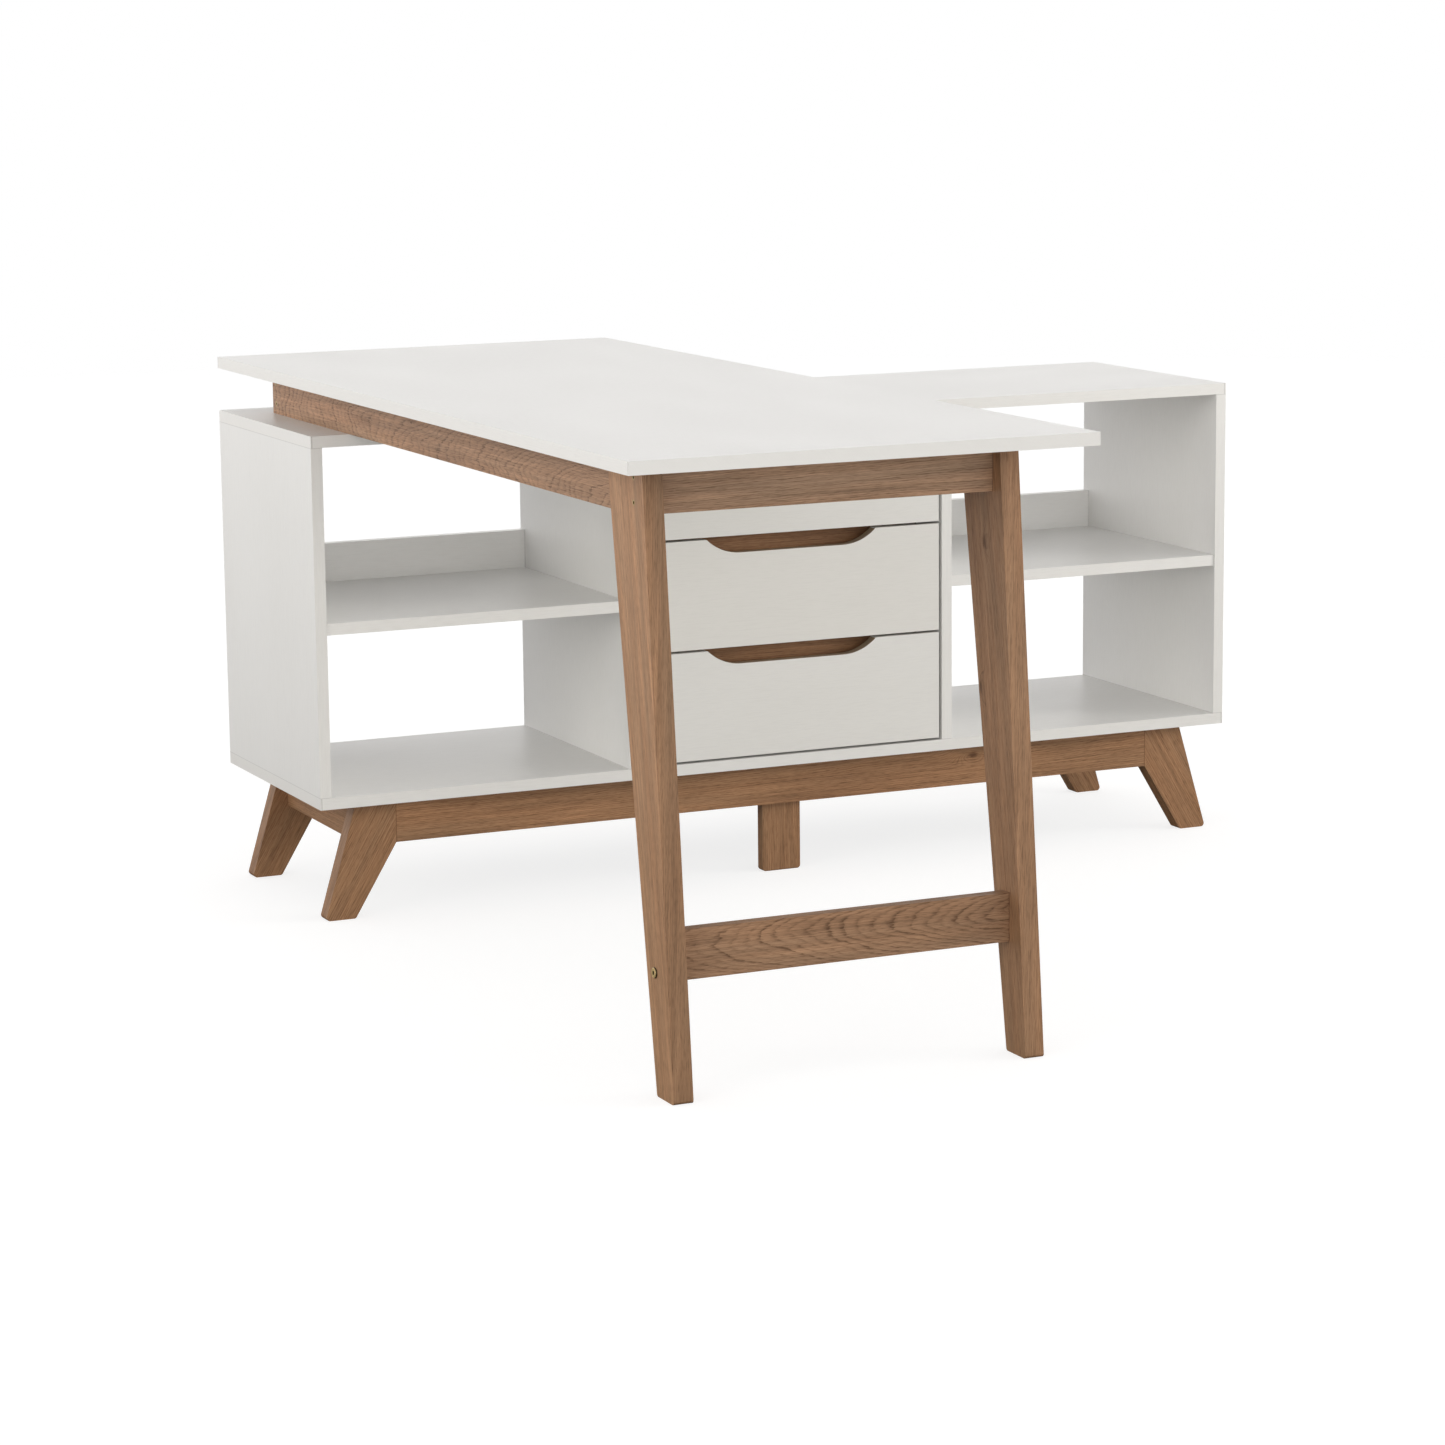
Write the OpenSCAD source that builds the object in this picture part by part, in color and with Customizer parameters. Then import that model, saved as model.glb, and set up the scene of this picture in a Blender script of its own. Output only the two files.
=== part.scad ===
// Corner desk: a low cabinet with shelves and drawers, and a desk frame that rests on it.
// Axes: +X along the cabinet to its right end, +Y to the back, +Z up, millimetres.
// The origin is on the floor, in the middle of the whole desk's outline.

/* [Overall size] */
// Length of the cabinet, along X
cabinet_length = 1430; // [1340:10:1600]
// Depth of the cabinet, along Y
cabinet_depth = 395; // [385:5:450]
// Length of the desk top, along Y
desk_length = 1470; // [1300:10:1600]
// Width of the desk top, along X
desk_width = 600; // [580:5:640]
// Height of the desk top's upper face
desk_height = 750; // [730:5:780]

/* [Boards] */
// Thickness of the white laminated boards and of the wood-tone rails
board = 16; // [16:0.5:18]
// Thickness of the legs
leg_thick = 25; // [24:1:28]
// Height of the rails and aprons
rail_height = 60; // [58:1:65]
// Height of the base, from the floor to the cabinet's underside
base_height = 162; // [150:2:170]
// Width of the drawer bay between the dividers
drawer_bay = 480; // [460:5:520]
// Height of the shelves' upper faces above the middle of the cabinet
shelf_raise = 0; // [-40:5:20]
// How far the shelves' front edges stand back
shelf_setback = 2; // [0:0.5:10]
// Height of the rail along the back of each shelf
shelf_rail_height = 56; // [50:1:70]

/* [Desk frame] */
// Distance from the desk top's left edge to the frame's outer face
frame_inset = 56; // [50:1:65]
// Width of the frame over its outer faces
frame_width = 485; // [470:5:500]
// Distance from the desk top's back edge to the long rails' back ends
rail_end_inset = 75; // [60:5:100]
// Distance from the desk top's front edge to the front of the legs, at the floor
leg_foot_inset = 24; // [15:1:40]
// Distance from the desk top's front edge to the front of the legs, at the top
leg_top_inset = 92; // [85:1:110]
// Depth of a desk leg at the floor
leg_foot_depth = 48; // [45:1:60]
// Depth of a desk leg at the top
leg_top_depth = 100; // [90:1:110]
// Height of the stretcher's lower edge
stretcher_height = 136; // [120:2:200]

/* [Base] */
// Distance from the cabinet's end to the outer corner of a splayed foot
foot_outer = 12; // [5:1:20]
// Distance from the cabinet's end to the inner corner of a splayed foot
foot_inner = 56; // [50:1:65]
// Distance from the cabinet's end to the outer corner of a leg's top
shoulder_outer = 60; // [50:1:64]
// Distance from the cabinet's end to the joint between leg and apron
shoulder_inner = 118; // [110:1:130]
// Distance from the cabinet's end to the outer face of the rail between two legs
end_rail_inset = 68; // [66:1:80]
// Distance from the cabinet's front and back to the legs
base_setback = 27; // [20:1:35]
// Width of the straight centre leg
centre_leg_width = 60; // [50:1:70]

/* [Drawers] */
// Gap above, below and between the drawer fronts
front_gap = 3.5; // [2:0.5:4]
// Gap between a drawer front and the dividers
side_gap = 5; // [3:0.5:6]
// Length of the handle cut-out along the front's top edge
cut_top_length = 266; // [240:2:280]
// Length of the straight bottom of the handle cut-out
cut_flat_length = 162; // [140:2:180]
// Depth of the handle cut-out
cut_depth = 21; // [16:1:23]
// Depth of the finger space between the front and its backing strip
finger_space = 20; // [18:1:26]
// Length of the drawer box behind its front
box_length = 350; // [320:5:352]
// Height of the drawer box
box_height = 120; // [110:1:122]

/* [Hidden] */
$fn = 48;
play = 0.1;          // clearance round dowels and screws
slide_play = 0.5;    // clearance between the drawers and their runners

// Main planes
x_left = -cabinet_length / 2;
x_right = cabinet_length / 2;
y_front = -desk_length / 2;
y_back = desk_length / 2;
y_cabinet = y_back - cabinet_depth;
z_rail = desk_height - board - rail_height;
z_inner_low = base_height + board;
z_inner_high = z_rail - board;
inner_height = z_inner_high - z_inner_low;

// Cabinet
x_divider = drawer_bay / 2;
side_bay = (cabinet_length - drawer_bay) / 2 - 2 * board;
z_shelf = z_inner_low + inner_height / 2 + shelf_raise;
back_panel_thick = 3;
back_panel_inset = 10;
groove_depth = 5;
groove_play = 0.2;

// Desk frame
x_desk = x_left;
x_frame = x_desk + frame_inset;
x_frame_end = x_frame + frame_width;
z_desk_under = desk_height - board;
y_end_rail = y_front + leg_top_inset + board;
y_stretcher = y_front + leg_foot_inset + 41;
y_cross_rail = y_back - rail_end_inset - 6 - board;

// Drawers
drawer_count = 3;
front_width = drawer_bay - 2 * side_gap;
front_height = (inner_height - (drawer_count + 1) * front_gap) / drawer_count;
drawer_pitch = front_height + front_gap;
box_board = 15;
box_side_gap = 8;
box_width = drawer_bay - 2 * box_side_gap;
box_low = 12;
box_back_y = y_cabinet + board + box_length;
bottom_thick = 3;
bottom_low = 22;
runner_low = 62;
runner_size = 16;
runner_groove = 8;
runner_start = 19;
runner_length = 320;
strip_thick = 12;
strip_height = 46;

// Dowels and screws
dowel_d = 8;
dowel_short_end = 10;
dowel_long_end = 20;
short_screw_length = 30;
long_screw_length = 35;
frame_screw_length = 50;
bolt_d = 6;
bolt_head_d = 13;
bolt_head_height = 2.5;
bolt_socket = 5.5;

white = [0.93, 0.93, 0.91];
wood = [0.55, 0.42, 0.31];
beech = [0.82, 0.70, 0.52];
hardboard = [0.62, 0.50, 0.38];
brass = [0.78, 0.62, 0.32];
steel = [0.72, 0.72, 0.73];

/* ---------- helpers ---------- */

function unit(v) = v / norm(v);

// Points of a small arc that rounds the corner p between its neighbours a and b.
function corner_arc(a, p, b, r, steps = 6) =
    let (
        u = unit(a - p),
        v = unit(b - p),
        half = acos(u * v) / 2,
        centre = p + unit(u + v) * r / sin(half),
        p1 = p + u * r / tan(half),
        p2 = p + v * r / tan(half)
    )
    [for (i = [0 : steps]) centre + r * unit((p1 - centre) * (1 - i / steps) + (p2 - centre) * i / steps)];

// Turns the +Z axis of its children to the direction d.
module aim(d) {
    if (d == "right") rotate([0, 90, 0]) children();
    if (d == "left") rotate([0, -90, 0]) children();
    if (d == "back") rotate([-90, 0, 0]) children();
    if (d == "front") rotate([90, 0, 0]) children();
    if (d == "down") rotate([180, 0, 0]) children();
    if (d == "up") children();
}

// Draws its children once more, mirrored about the plane x = x_mid.
module both_sides(x_mid) {
    children();
    translate([2 * x_mid, 0, 0]) mirror([1, 0, 0]) children();
}

// A box from one corner to the other.
module block(low, high) {
    translate(low) cube(high - low);
}

// An outline drawn in Y and Z, extruded along X.
module slab_yz(points, x, thick) {
    translate([x, 0, 0]) rotate([90, 0, 90]) linear_extrude(thick) polygon(points);
}

// An outline drawn in X and Z, extruded along Y.
module slab_xz(points, y, thick) {
    translate([0, y + thick, 0]) rotate([90, 0, 0]) linear_extrude(thick) polygon(points);
}

/* ---------- dowels and screws ---------- */

// A dowel across a joint: its long end along +Z, its short end the other way.
module dowel() {
    translate([0, 0, -dowel_short_end]) cylinder(d = dowel_d, h = dowel_short_end + dowel_long_end);
}

module dowel_hole() {
    translate([0, 0, -dowel_short_end - 1])
        cylinder(d = dowel_d + 2 * play, h = dowel_short_end + dowel_long_end + 2);
}

// A countersunk screw with a hexagonal socket, its head flush with z = 0 and its tip along +Z.
module screw(head, shank, length, socket) {
    difference() {
        union() {
            cylinder(d1 = head, d2 = shank, h = (head - shank) / 2);
            cylinder(d = shank, h = length);
        }
        translate([0, 0, -1]) cylinder(d = socket, h = 3, $fn = 6);
    }
}

module screw_hole(head, shank, length) {
    grown = head + 2 * play;
    cone = (head - shank) / 2;
    cylinder(d1 = grown, d2 = shank + 2 * play, h = cone);
    cylinder(d = shank + 2 * play, h = length + 1);
    translate([0, 0, -1]) cylinder(d = grown, h = 1);
}

module short_screw() {
    screw(8, 4, short_screw_length, 3);
}

module short_screw_hole() {
    screw_hole(8, 4, short_screw_length);
}

// Sits at the bottom of a deep hole bored up through a rail's height.
module long_screw() {
    screw(9, 4.5, long_screw_length, 3.5);
}

module long_screw_hole() {
    screw_hole(9, 4.5, long_screw_length);
    translate([0, 0, -rail_height]) cylinder(d = 10, h = rail_height);
}

module frame_screw() {
    screw(7, 5, frame_screw_length, 4);
}

module frame_screw_hole() {
    screw_hole(7, 5, frame_screw_length);
}

// A furniture bolt with a flat round head, which stands proud of z = 0, and a hexagonal socket.
module bolt() {
    difference() {
        union() {
            translate([0, 0, -bolt_head_height]) cylinder(d1 = bolt_head_d - 2, d2 = bolt_head_d, h = 1);
            translate([0, 0, 1 - bolt_head_height]) cylinder(d = bolt_head_d, h = bolt_head_height - 1);
            cylinder(d = bolt_d, h = frame_screw_length);
        }
        translate([0, 0, -bolt_head_height - 1]) cylinder(d = bolt_socket, h = 3, $fn = 6);
    }
}

module bolt_hole() {
    translate([0, 0, -1]) cylinder(d = bolt_d + 2 * play, h = frame_screw_length + 2);
}

/* ---------- where the dowels and screws go ---------- */

upright_x = [x_left + board / 2, -x_divider - board / 2, x_divider + board / 2, x_right - board / 2];
upright_y = [y_cabinet + 45, y_cabinet + cabinet_depth / 2, y_back - 45];

module carcass_dowel_places() {
    for (x = upright_x, y = upright_y) {
        translate([x, y, z_inner_high]) aim("down") children();
        translate([x, y, z_inner_low]) aim("up") children();
    }
}

module shelf_dowel_places() {
    z = z_shelf - board / 2;
    both_sides(0) for (y = [y_cabinet + 60, y_back - 60]) {
        translate([x_left + board, y, z]) aim("right") children();
        translate([-x_divider - board, y, z]) aim("left") children();
    }
}

module shelf_rail_dowel_places() {
    both_sides(0) {
        translate([x_left + board, y_back - board / 2, z_shelf + 30]) aim("right") children();
        translate([-x_divider - board, y_back - board / 2, z_shelf + 30]) aim("left") children();
    }
}

module apron_dowel_places() {
    y_low = y_cabinet + base_setback + board / 2;
    y_high = y_back - base_setback - board / 2;
    both_sides(0) for (y = [y_low, y_high], z = [base_height - 45, base_height - 18])
        translate([x_left + shoulder_inner, y, z]) aim("right") children();
}

module base_end_dowel_places() {
    x = x_left + end_rail_inset + board / 2;
    both_sides(0) for (z = [base_height - 45, base_height - 18]) {
        translate([x, y_cabinet + base_setback + leg_thick, z]) aim("back") children();
        translate([x, y_back - base_setback - leg_thick, z]) aim("front") children();
    }
}

module long_rail_dowel_places() {
    for (z = [z_rail + 16, z_rail + 44])
        both_sides(x_frame + frame_width / 2)
            translate([x_frame + board / 2, leg_back_y(z), z]) aim("back") children();
}

module stretcher_dowel_places() {
    both_sides(x_frame + frame_width / 2)
        translate([x_frame + leg_thick, y_stretcher - board / 2 + board, stretcher_height + 48])
            aim("right") children();
}

module dowel_places() {
    carcass_dowel_places() children();
    shelf_dowel_places() children();
    shelf_rail_dowel_places() children();
    apron_dowel_places() children();
    base_end_dowel_places() children();
    long_rail_dowel_places() children();
    stretcher_dowel_places() children();
}

// Four screws through the legs into the end rail, and four through the long rails.
module frame_screw_places() {
    both_sides(x_frame + frame_width / 2) for (z = [z_rail + 14, z_rail + 43]) {
        translate([x_frame, y_end_rail + board / 2, z]) aim("right") children();
        translate([x_frame, y_cross_rail + board / 2, z]) aim("right") children();
    }
}

module bolt_places() {
    both_sides(x_frame + frame_width / 2)
        translate([x_frame, y_stretcher + board / 2, stretcher_height + 11]) aim("right") children();
}

// Screws up through the aprons and end rails into the cabinet's bottom panel.
module base_screw_places() {
    z = base_height - 25;
    for (x = [-400, -130, 130, 400]) {
        translate([x, y_cabinet + base_setback + board / 2, z]) children();
        translate([x, y_back - base_setback - board / 2, z]) children();
    }
    both_sides(0)
        translate([x_left + end_rail_inset + board / 2, y_cabinet + cabinet_depth / 2, z]) children();
}

// Screws up through the desk frame into the desk top.
module desk_top_screw_places() {
    z = z_desk_under - 25;
    both_sides(x_frame + frame_width / 2) for (y = [y_front + 300, 0, y_back - 300])
        translate([x_frame + board / 2, y, z]) children();
    for (y = [y_end_rail, y_cross_rail])
        translate([x_frame + frame_width / 2, y + board / 2, z]) children();
}

module long_screw_places() {
    base_screw_places() children();
    desk_top_screw_places() children();
}

// Screws up through the cabinet's top panel into the long rails.
module desk_fixing_places() {
    both_sides(x_frame + frame_width / 2) for (y = [y_cabinet + 60, y_back - 135])
        translate([x_frame + board / 2, y, z_inner_high]) children();
}

module centre_leg_screw_places() {
    for (x = [-15, 15])
        translate([x, y_centre_leg() + board, base_height - 30]) aim("front") children();
}

module runner_screw_places() {
    both_sides(0) for (i = [0 : drawer_count - 1], y = [90, 270])
        translate([x_runner_face(), y_cabinet + y, drawer_z(i) + runner_low + runner_size / 2])
            aim("right") children();
}

module short_screw_places() {
    desk_fixing_places() children();
    centre_leg_screw_places() children();
    runner_screw_places() children();
}

/* ---------- cabinet ---------- */

module panel_x(x_low, x_high, z_low) {
    block([x_low, y_cabinet, z_low], [x_high, y_back, z_low + board]);
}

module upright(x_low) {
    difference() {
        block([x_low, y_cabinet, z_inner_low], [x_low + board, y_back, z_inner_high]);
        carcass_dowel_places() dowel_hole();
        shelf_dowel_places() dowel_hole();
        shelf_rail_dowel_places() dowel_hole();
    }
}

// The space that the drawer bay's back panel takes, with its grooves.
module back_panel_groove() {
    y = y_back - back_panel_inset - back_panel_thick - groove_play;
    block([-x_divider - groove_depth, y, z_inner_low - groove_depth],
          [x_divider + groove_depth, y + back_panel_thick + 2 * groove_play, z_inner_high + groove_depth]);
}

module cabinet_top_panel() {
    color(white) difference() {
        panel_x(x_left, x_right, z_inner_high);
        carcass_dowel_places() dowel_hole();
        desk_fixing_places() short_screw_hole();
        back_panel_groove();
    }
}

module cabinet_bottom_panel() {
    color(white) difference() {
        panel_x(x_left, x_right, base_height);
        carcass_dowel_places() dowel_hole();
        base_screw_places() long_screw_hole();
        back_panel_groove();
    }
}

module left_side_panel() {
    color(white) upright(x_left);
}

module right_side_panel() {
    color(white) upright(x_right - board);
}

module divider(x_low) {
    difference() {
        upright(x_low);
        back_panel_groove();
        runner_screw_places() short_screw_hole();
    }
}

module left_divider() {
    color(white) divider(-x_divider - board);
}

module right_divider() {
    color(white) divider(x_divider);
}

module shelf(x_low) {
    difference() {
        block([x_low, y_cabinet + shelf_setback, z_shelf - board], [x_low + side_bay, y_back, z_shelf]);
        shelf_dowel_places() dowel_hole();
    }
}

module left_shelf() {
    color(white) shelf(x_left + board);
}

module right_shelf() {
    color(white) shelf(x_divider + board);
}

module shelf_rail(x_low) {
    difference() {
        block([x_low, y_back - board, z_shelf], [x_low + side_bay, y_back, z_shelf + shelf_rail_height]);
        shelf_rail_dowel_places() dowel_hole();
    }
}

module left_shelf_rail() {
    color(white) shelf_rail(x_left + board);
}

module right_shelf_rail() {
    color(white) shelf_rail(x_divider + board);
}

module drawer_bay_back() {
    reach = groove_depth - groove_play;
    y = y_back - back_panel_inset - back_panel_thick;
    color(hardboard) block([-x_divider - reach, y, z_inner_low - reach],
                           [x_divider + reach, y + back_panel_thick, z_inner_high + reach]);
}

/* ---------- base ---------- */

function y_centre_leg() = y_cabinet + base_setback + board;

// Outline of the left splayed leg, seen from the front.
function base_leg_outline() =
    let (
        outer = [x_left + foot_outer, 0],
        inner = [x_left + foot_inner, 0],
        hip = [x_left + shoulder_inner, base_height - rail_height],
        top_inner = [x_left + shoulder_inner, base_height],
        top_outer = [x_left + shoulder_outer, base_height]
    )
    concat(corner_arc(top_outer, outer, inner, 5), corner_arc(outer, inner, hip, 5), [hip, top_inner, top_outer]);

module base_leg_blank(y) {
    difference() {
        slab_xz(base_leg_outline(), y, leg_thick);
        apron_dowel_places() dowel_hole();
        base_end_dowel_places() dowel_hole();
    }
}

module front_left_base_leg() {
    color(wood) base_leg_blank(y_cabinet + base_setback);
}

module back_left_base_leg() {
    color(wood) base_leg_blank(y_back - base_setback - leg_thick);
}

module front_right_base_leg() {
    color(wood) mirror([1, 0, 0]) base_leg_blank(y_cabinet + base_setback);
}

module back_right_base_leg() {
    color(wood) mirror([1, 0, 0]) base_leg_blank(y_back - base_setback - leg_thick);
}

module apron(y) {
    block([x_left + shoulder_inner, y, base_height - rail_height],
          [x_right - shoulder_inner, y + board, base_height]);
}

module front_apron() {
    color(wood) difference() {
        apron(y_cabinet + base_setback);
        apron_dowel_places() dowel_hole();
        base_screw_places() long_screw_hole();
        centre_leg_screw_places() short_screw_hole();
    }
}

module back_apron() {
    color(wood) difference() {
        apron(y_back - base_setback - board);
        apron_dowel_places() dowel_hole();
        base_screw_places() long_screw_hole();
    }
}

module base_end_rail(x_low) {
    difference() {
        block([x_low, y_cabinet + base_setback + leg_thick, base_height - rail_height],
              [x_low + board, y_back - base_setback - leg_thick, base_height]);
        base_end_dowel_places() dowel_hole();
        base_screw_places() long_screw_hole();
    }
}

module left_base_rail() {
    color(wood) base_end_rail(x_left + end_rail_inset);
}

module right_base_rail() {
    color(wood) base_end_rail(x_right - end_rail_inset - board);
}

module centre_leg() {
    half = centre_leg_width / 2;
    outline = concat(
        corner_arc([-half, base_height], [-half, 0], [half, 0], 5),
        corner_arc([-half, 0], [half, 0], [half, base_height], 5),
        [[half, base_height], [-half, base_height]]);
    color(wood) difference() {
        slab_xz(outline, y_centre_leg(), board);
        centre_leg_screw_places() short_screw_hole();
    }
}

/* ---------- desk ---------- */

// Y of a desk leg's back and front edges at the height z.
function leg_back_y(z) =
    let (foot = leg_foot_inset + leg_foot_depth, top = leg_top_inset + leg_top_depth)
    y_front + foot + (top - foot) * z / z_desk_under;

function leg_front_y(z) = y_front + leg_foot_inset + (leg_top_inset - leg_foot_inset) * z / z_desk_under;

module desk_top() {
    color(white) difference() {
        block([x_desk, y_front, z_desk_under], [x_desk + desk_width, y_back, desk_height]);
        desk_top_screw_places() long_screw_hole();
    }
}

module desk_leg_blank() {
    foot_front = [leg_front_y(0), 0];
    foot_back = [leg_back_y(0), 0];
    top_back = [leg_back_y(z_desk_under), z_desk_under];
    top_front = [leg_front_y(z_desk_under), z_desk_under];
    outline = concat(
        corner_arc(top_front, foot_front, foot_back, 4),
        corner_arc(foot_front, foot_back, top_back, 4),
        [top_back, top_front]);
    difference() {
        slab_yz(outline, x_frame, leg_thick);
        long_rail_dowel_places() dowel_hole();
        stretcher_dowel_places() dowel_hole();
        frame_screw_places() frame_screw_hole();
        bolt_places() bolt_hole();
    }
}

module left_desk_leg() {
    color(wood) desk_leg_blank();
}

module right_desk_leg() {
    color(wood) translate([2 * x_frame + frame_width, 0, 0]) mirror([1, 0, 0]) desk_leg_blank();
}

module long_rail_blank() {
    outline = [
        [leg_back_y(z_rail), z_rail],
        [y_back - rail_end_inset, z_rail],
        [y_back - rail_end_inset, z_desk_under],
        [leg_back_y(z_desk_under), z_desk_under]
    ];
    difference() {
        slab_yz(outline, x_frame, board);
        long_rail_dowel_places() dowel_hole();
        frame_screw_places() frame_screw_hole();
        desk_top_screw_places() long_screw_hole();
        desk_fixing_places() short_screw_hole();
    }
}

module left_long_rail() {
    color(wood) long_rail_blank();
}

module right_long_rail() {
    color(wood) translate([2 * x_frame + frame_width, 0, 0]) mirror([1, 0, 0]) long_rail_blank();
}

module desk_end_rail() {
    color(wood) difference() {
        block([x_frame + leg_thick, y_end_rail, z_rail],
              [x_frame_end - leg_thick, y_end_rail + board, z_desk_under]);
        frame_screw_places() frame_screw_hole();
        desk_top_screw_places() long_screw_hole();
    }
}

module desk_cross_rail() {
    color(wood) difference() {
        block([x_frame + board, y_cross_rail, z_rail], [x_frame_end - board, y_cross_rail + board, z_desk_under]);
        frame_screw_places() frame_screw_hole();
        desk_top_screw_places() long_screw_hole();
    }
}

module leg_stretcher() {
    color(wood) difference() {
        block([x_frame + leg_thick, y_stretcher, stretcher_height],
              [x_frame_end - leg_thick, y_stretcher + board, stretcher_height + rail_height]);
        stretcher_dowel_places() dowel_hole();
        bolt_places() bolt_hole();
    }
}

/* ---------- drawers ---------- */

// Height of the lower edge of drawer front i, counted from the bottom.
function drawer_z(i) = z_inner_low + front_gap + i * drawer_pitch;

function x_runner_face() = x_divider - box_side_gap - runner_groove + slide_play;

// Outline of a drawer front with the handle cut-out in its top edge.
function front_outline() =
    let (
        half = front_width / 2,
        flat = cut_flat_length / 2,
        reach = cut_top_length / 2 - flat,
        r = (reach * reach + cut_depth * cut_depth) / (2 * cut_depth),
        sweep = asin(reach / r),
        steps = 14
    )
    concat(
        [[-half, 0], [half, 0], [half, front_height]],
        [for (i = [0 : steps])
            let (a = sweep * (1 - i / steps))
            [flat + r * sin(a), front_height - cut_depth + r * (1 - cos(a))]],
        [for (i = [0 : steps])
            let (a = sweep * i / steps)
            [-flat - r * sin(a), front_height - cut_depth + r * (1 - cos(a))]],
        [[-half, front_height]]);

module front_dowel_places() {
    both_sides(0) for (z = [35, 110])
        translate([box_width / 2 - box_board / 2, y_cabinet + board, z]) aim("back") children();
}

module box_dowel_places() {
    both_sides(0) {
        for (z = [45, 110])
            translate([box_width / 2 - box_board, box_back_y - box_board / 2, z]) aim("left") children();
        translate([box_width / 2 - box_board, y_cabinet + board + finger_space + strip_thick / 2, 121])
            aim("left") children();
    }
}

// The thin bottom panel, or with grow the groove that holds it.
module bottom_sheet(grow) {
    x = box_width / 2 - box_board + groove_depth - groove_play + grow;
    block([-x, y_cabinet + board - groove_depth + groove_play - grow, bottom_low - grow],
          [x, box_back_y + 5 * grow, bottom_low + bottom_thick + grow]);
}

module drawer_front_blank() {
    difference() {
        slab_xz(front_outline(), y_cabinet, board);
        front_dowel_places() dowel_hole();
        bottom_sheet(groove_play);
    }
}

module drawer_strip_blank() {
    x = box_width / 2 - box_board;
    y = y_cabinet + board + finger_space;
    difference() {
        block([-x, y, front_height - 2 - strip_height], [x, y + strip_thick, front_height - 2]);
        box_dowel_places() dowel_hole();
    }
}

module drawer_side_blank() {
    x = box_width / 2;
    z = runner_low - slide_play;
    difference() {
        block([x - box_board, y_cabinet + board, box_low], [x, box_back_y, box_low + box_height]);
        front_dowel_places() dowel_hole();
        box_dowel_places() dowel_hole();
        bottom_sheet(groove_play);
        block([x - runner_groove, y_cabinet + board + runner_start - 2, z],
              [x + 1, box_back_y + 1, z + runner_size + 2 * slide_play]);
    }
}

module drawer_back_blank() {
    x = box_width / 2 - box_board;
    difference() {
        block([-x, box_back_y - box_board, bottom_low + bottom_thick + groove_play],
              [x, box_back_y, box_low + box_height]);
        box_dowel_places() dowel_hole();
    }
}

module drawer_dowels_blank() {
    front_dowel_places() dowel();
    box_dowel_places() dowel();
}

module at_drawer(i) {
    translate([0, 0, drawer_z(i)]) children();
}

module drawer_front(i) {
    color(white) at_drawer(i) drawer_front_blank();
}

module drawer_strip(i) {
    color(wood) at_drawer(i) drawer_strip_blank();
}

module drawer_left_side(i) {
    color(white) at_drawer(i) mirror([1, 0, 0]) drawer_side_blank();
}

module drawer_right_side(i) {
    color(white) at_drawer(i) drawer_side_blank();
}

module drawer_back(i) {
    color(white) at_drawer(i) drawer_back_blank();
}

module drawer_bottom(i) {
    color(hardboard) at_drawer(i) bottom_sheet(0);
}

module drawer_dowels(i) {
    color(beech) at_drawer(i) drawer_dowels_blank();
}

module right_runner(i) {
    y = y_cabinet + board + runner_start;
    color(beech) difference() {
        block([x_runner_face(), y, drawer_z(i) + runner_low],
              [x_divider, y + runner_length, drawer_z(i) + runner_low + runner_size]);
        runner_screw_places() short_screw_hole();
    }
}

module left_runner(i) {
    mirror([1, 0, 0]) right_runner(i);
}

/* ---------- fasteners ---------- */

module wooden_dowels() {
    color(beech) dowel_places() dowel();
}

module frame_screws() {
    color(brass) frame_screw_places() frame_screw();
}

module stretcher_bolts() {
    color(brass) bolt_places() bolt();
}

module long_screws() {
    color(steel) long_screw_places() long_screw();
}

module short_screws() {
    color(steel) short_screw_places() short_screw();
}

/* ---------- nodes ---------- */

cabinet_top_panel();
cabinet_bottom_panel();
left_side_panel();
right_side_panel();
left_divider();
right_divider();
left_shelf();
right_shelf();
left_shelf_rail();
right_shelf_rail();
drawer_bay_back();

front_apron();
back_apron();
left_base_rail();
right_base_rail();
front_left_base_leg();
front_right_base_leg();
back_left_base_leg();
back_right_base_leg();
centre_leg();

desk_top();
left_long_rail();
right_long_rail();
desk_end_rail();
desk_cross_rail();
left_desk_leg();
right_desk_leg();
leg_stretcher();

drawer_front(0);  // bottom_drawer_front
drawer_strip(0);  // bottom_drawer_strip
drawer_left_side(0);  // bottom_drawer_left_side
drawer_right_side(0);  // bottom_drawer_right_side
drawer_back(0);  // bottom_drawer_back
drawer_bottom(0);  // bottom_drawer_bottom
drawer_dowels(0);  // bottom_drawer_dowels

drawer_front(1);  // middle_drawer_front
drawer_strip(1);  // middle_drawer_strip
drawer_left_side(1);  // middle_drawer_left_side
drawer_right_side(1);  // middle_drawer_right_side
drawer_back(1);  // middle_drawer_back
drawer_bottom(1);  // middle_drawer_bottom
drawer_dowels(1);  // middle_drawer_dowels

drawer_front(2);  // top_drawer_front
drawer_strip(2);  // top_drawer_strip
drawer_left_side(2);  // top_drawer_left_side
drawer_right_side(2);  // top_drawer_right_side
drawer_back(2);  // top_drawer_back
drawer_bottom(2);  // top_drawer_bottom
drawer_dowels(2);  // top_drawer_dowels

left_runner(0);  // bottom_left_runner
right_runner(0);  // bottom_right_runner
left_runner(1);  // middle_left_runner
right_runner(1);  // middle_right_runner
left_runner(2);  // top_left_runner
right_runner(2);  // top_right_runner

wooden_dowels();
frame_screws();
stretcher_bolts();
long_screws();
short_screws();
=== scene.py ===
import math

import bpy
from mathutils import Matrix, Vector


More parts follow.
